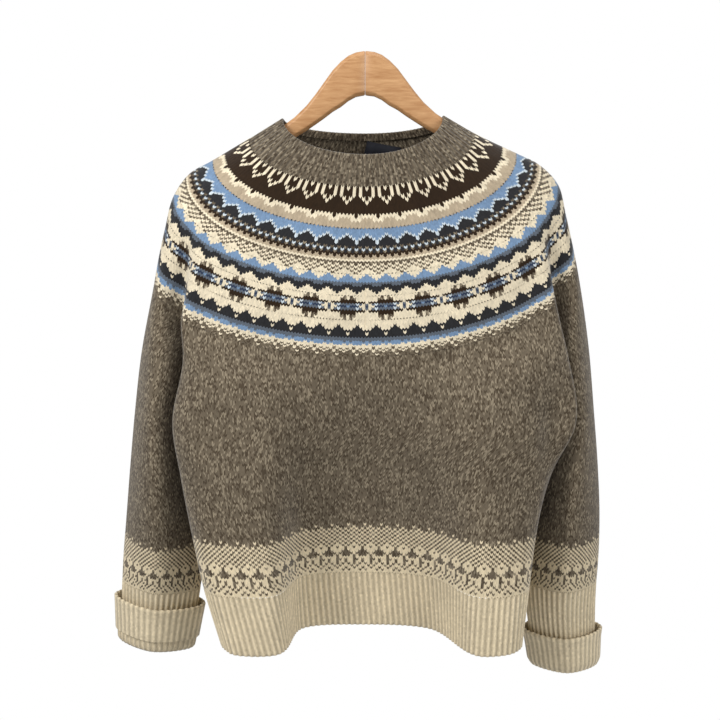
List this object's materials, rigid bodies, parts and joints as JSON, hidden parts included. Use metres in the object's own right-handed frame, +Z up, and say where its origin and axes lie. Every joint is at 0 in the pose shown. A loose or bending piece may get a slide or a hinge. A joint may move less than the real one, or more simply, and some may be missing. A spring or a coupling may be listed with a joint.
{
  "type": "fair isle jumper on wooden hanger",
  "caption": "Hollow long-sleeved jumper with a patterned round yoke, turned-back cuffs and ribbed hem, hanging in soft folds on a plain wooden hanger.",
  "frame": {"origin": "top of the hanger's middle, where it is held", "axes": "+Z up, +X to the right of someone looking at the front, front faces -Y"},
  "size_m": [0.5629, 0.2095, 0.6935],
  "materials": {
    "marl_knit": "woolly matt knit, grey-brown marl",
    "yoke_knit": "stranded colour knit",
    "cream_rib": "cream wool rib",
    "label": "woven tab, bare",
    "wood": "smooth plain wood, satin"
  },
  "bodies": {
    "root": {"neckband": "marl_knit", "yoke": "yoke_knit", "front": "marl_knit", "back": "marl_knit", "sleeve_left": "marl_knit", "sleeve_right": "marl_knit", "hem_rib_front": "cream_rib", "hem_rib_back": "cream_rib", "cuff_left": "cream_rib", "cuff_right": "cream_rib", "neck_label": "label", "hanger_arm_left": "wood", "hanger_arm_right": "wood"}
  },
  "joints": []
}
